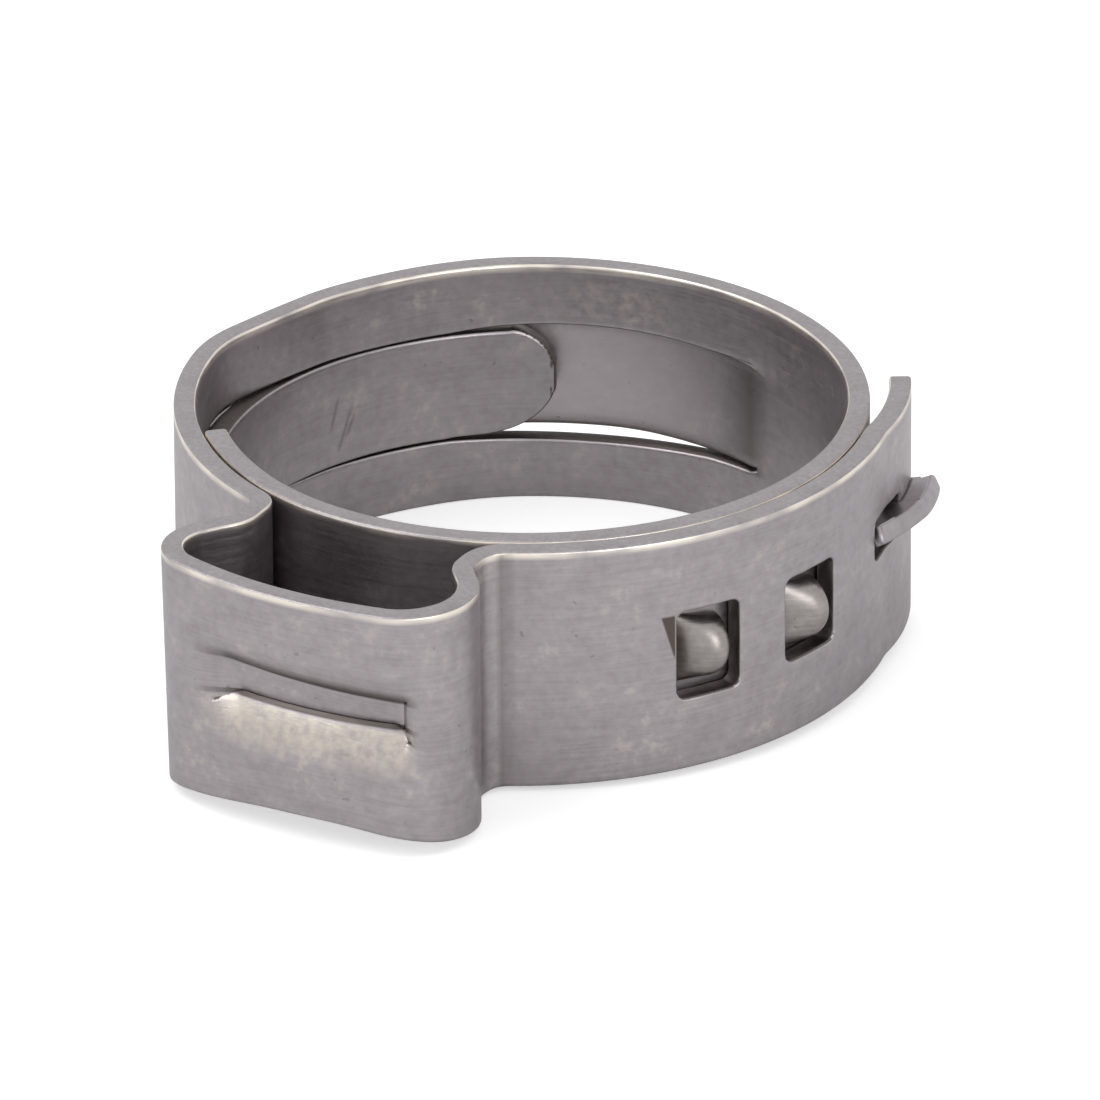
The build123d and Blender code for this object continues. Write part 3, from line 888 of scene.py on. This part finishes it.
# The sheared edges: grainy, and darkened by painted shade in the windows and along the slits.
def shearedEdge():
    material = bpy.data.materials.new("shearedEdge")
    n = Nodes(material)
    here = n.add("ShaderNodeTexCoord").outputs["Object"]
    grit = n.noise(here, (7000.0, 7000.0, 7000.0), 3.0, 0.7)
    patches = n.noise(here, (1500.0, 1500.0, 1500.0), 2.0, 0.5)
    shade = n.math("ADD", n.times(grit, 0.6), n.times(patches, 0.4))
    colour = n.mix(n.ranged(shade, 0.35, 0.65), colours["shearedDull"], colours["sheared"])
    height = n.add("ShaderNodeSeparateXYZ", {0: here}).outputs[2]
    # painted shade on the sheared edges at middle heights, in the windows and along the slits
    inside = n.times(n.ranged(height, 0.0007, 0.0012, 0.0, 0.8), n.ranged(height, 0.0064, 0.0059))
    colour = n.mix(inside, colour, colours["shearedShade"])
    n.metal(colour, n.ranged(patches, 0.3, 0.7, 0.34, 0.5), grit, 0.5, 0.00003)
    return material


# The pieces are made as sheets or shells, get both steels, are thickened and rounded, and are then
# joined into the one strip. The hooks and the fin keep the rolled steel on their rounded edges too.
rolled = rolledFace("rolledFace", colours["steel"], colours["dull"])
pressed = rolledFace("pressedFace", colours["pressed"], colours["pressedDull"])
sheared = shearedEdge()
whole, fin = coiledStrip(), guideHook()
thumbs = [pressedHook(angle) for angle in hook["shears"]]
for piece in [whole, fin, *thumbs]:
    for steel in (pressed if piece in thumbs else rolled, sheared):
        piece.data.materials.append(steel)
thicken(whole, strip["thickness"])
thicken(fin, guide["thickness"])
for piece in [whole, *thumbs]:
    roundEdges(piece, strip["edge"])
roundEdges(fin, guide["edge"], standsClear)
for piece in [fin, *thumbs]:
    piece.data.polygons.foreach_set("material_index", np.zeros(len(piece.data.polygons), np.int32))
print("strip built", len(whole.data.polygons))
with bpy.context.temp_override(active_object=whole, selected_editable_objects=[whole, fin, *thumbs]):
    bpy.ops.object.join()
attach(whole, "root")
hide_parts("clamp_ring")
print("hooks joined to it", len(whole.data.polygons))

studio = {
    "floorReach": 0.6,
    "paper": (0.76, 0.76, 0.76, 1),
    "floorLight": 0.48,     # the floor's own light, which only the camera sees
    "room": 0.86,           # the white room's light on the object
    "background": 1.0,
}

# A pale floor, whose own light for the camera hides its seam with the white background
reach = studio["floorReach"]
mesh = bpy.data.meshes.new("floor")
corners = [(-reach, -reach, 0), (reach, -reach, 0), (reach, reach, 0), (-reach, reach, 0)]
mesh.from_pydata(corners, [], [(0, 1, 2, 3)])
floor = bpy.data.objects.new("floor", mesh)
bpy.context.scene.collection.objects.link(floor)
paper = bpy.data.materials.new("paper")
n = Nodes(paper)
seen = n.add("ShaderNodeLightPath").outputs["Is Camera Ray"]
wanted = {
    "Base Color": studio["paper"], "Roughness": 0.9, "Specular IOR Level": 0.1,
    "Emission Color": (1, 1, 1, 1), "Emission Strength": n.times(seen, studio["floorLight"]),
}
for key, value in wanted.items():
    n.feed(value, n.shader.inputs[key])
mesh.materials.append(paper)

# The studio: a soft white room, white behind the object
world = bpy.data.worlds.new("studio")
bpy.context.scene.world = world
world.use_nodes = True
tree = world.node_tree
back = tree.nodes["Background"]
paths = tree.nodes.new("ShaderNodeLightPath")
direct = tree.nodes.new("ShaderNodeMath")
direct.operation = "MAXIMUM"
tree.links.new(paths.outputs["Is Camera Ray"], direct.inputs[0])
tree.links.new(paths.outputs["Is Transmission Ray"], direct.inputs[1])
strength = tree.nodes.new("ShaderNodeMapRange")
tree.links.new(direct.outputs[0], strength.inputs["Value"])
strength.inputs["To Min"].default_value = studio["room"]
strength.inputs["To Max"].default_value = studio["background"]
tree.links.new(strength.outputs[0], back.inputs["Strength"])
back.inputs["Color"].default_value = (1, 1, 1, 1)


# A square lamp at a spot, turned towards another. Lengths are metres and its power is watts.
def lamp(name, spot, towards, size, power):
    light = bpy.data.lights.new(name, "AREA")
    light.size = size
    light.energy = power
    holder = bpy.data.objects.new(name, light)
    holder.location = spot
    holder.rotation_euler = (Vector(towards) - Vector(spot)).to_track_quat("-Z", "Y").to_euler()
    bpy.context.scene.collection.objects.link(holder)


# A wide lamp high on the left, and a weaker one low on the right
lamp("key", (-0.16, -0.14, 0.28), (0, 0, 0.003), 0.22, 0.34)
lamp("fill", (0.24, -0.16, 0.12), (0.004, -0.004, 0.003), 0.16, 0.2)

# The camera of the photograph: from above the front right, with a long lens
view = {"azimuth": 27.7, "elevation": 25.41, "roll": 0.36, "distance": 0.4481, "lens": 545.18}
target = Vector((0.000444, 0.000233, 0.002426))
turned, raised, roll = (math.radians(view[k]) for k in ("azimuth", "elevation", "roll"))
ahead = Vector((-math.sin(turned) * math.cos(raised), math.cos(turned) * math.cos(raised), -math.sin(raised)))
level = Vector((math.cos(turned), math.sin(turned), 0))
down = ahead.cross(level)
right = math.cos(roll) * level + math.sin(roll) * down
down = math.cos(roll) * down - math.sin(roll) * level
camera = bpy.data.objects.new("camera", bpy.data.cameras.new("camera"))
bpy.context.scene.collection.objects.link(camera)
camera.data.sensor_width = 36
camera.data.lens = view["lens"]
camera.data.clip_start = 0.01
camera.data.clip_end = 10
axes = Matrix((right, -down, -ahead)).transposed().to_4x4()
camera.matrix_world = Matrix.Translation(target - ahead * view["distance"]) @ axes
bpy.context.scene.camera = camera
bpy.context.scene.view_settings.view_transform = "Standard"
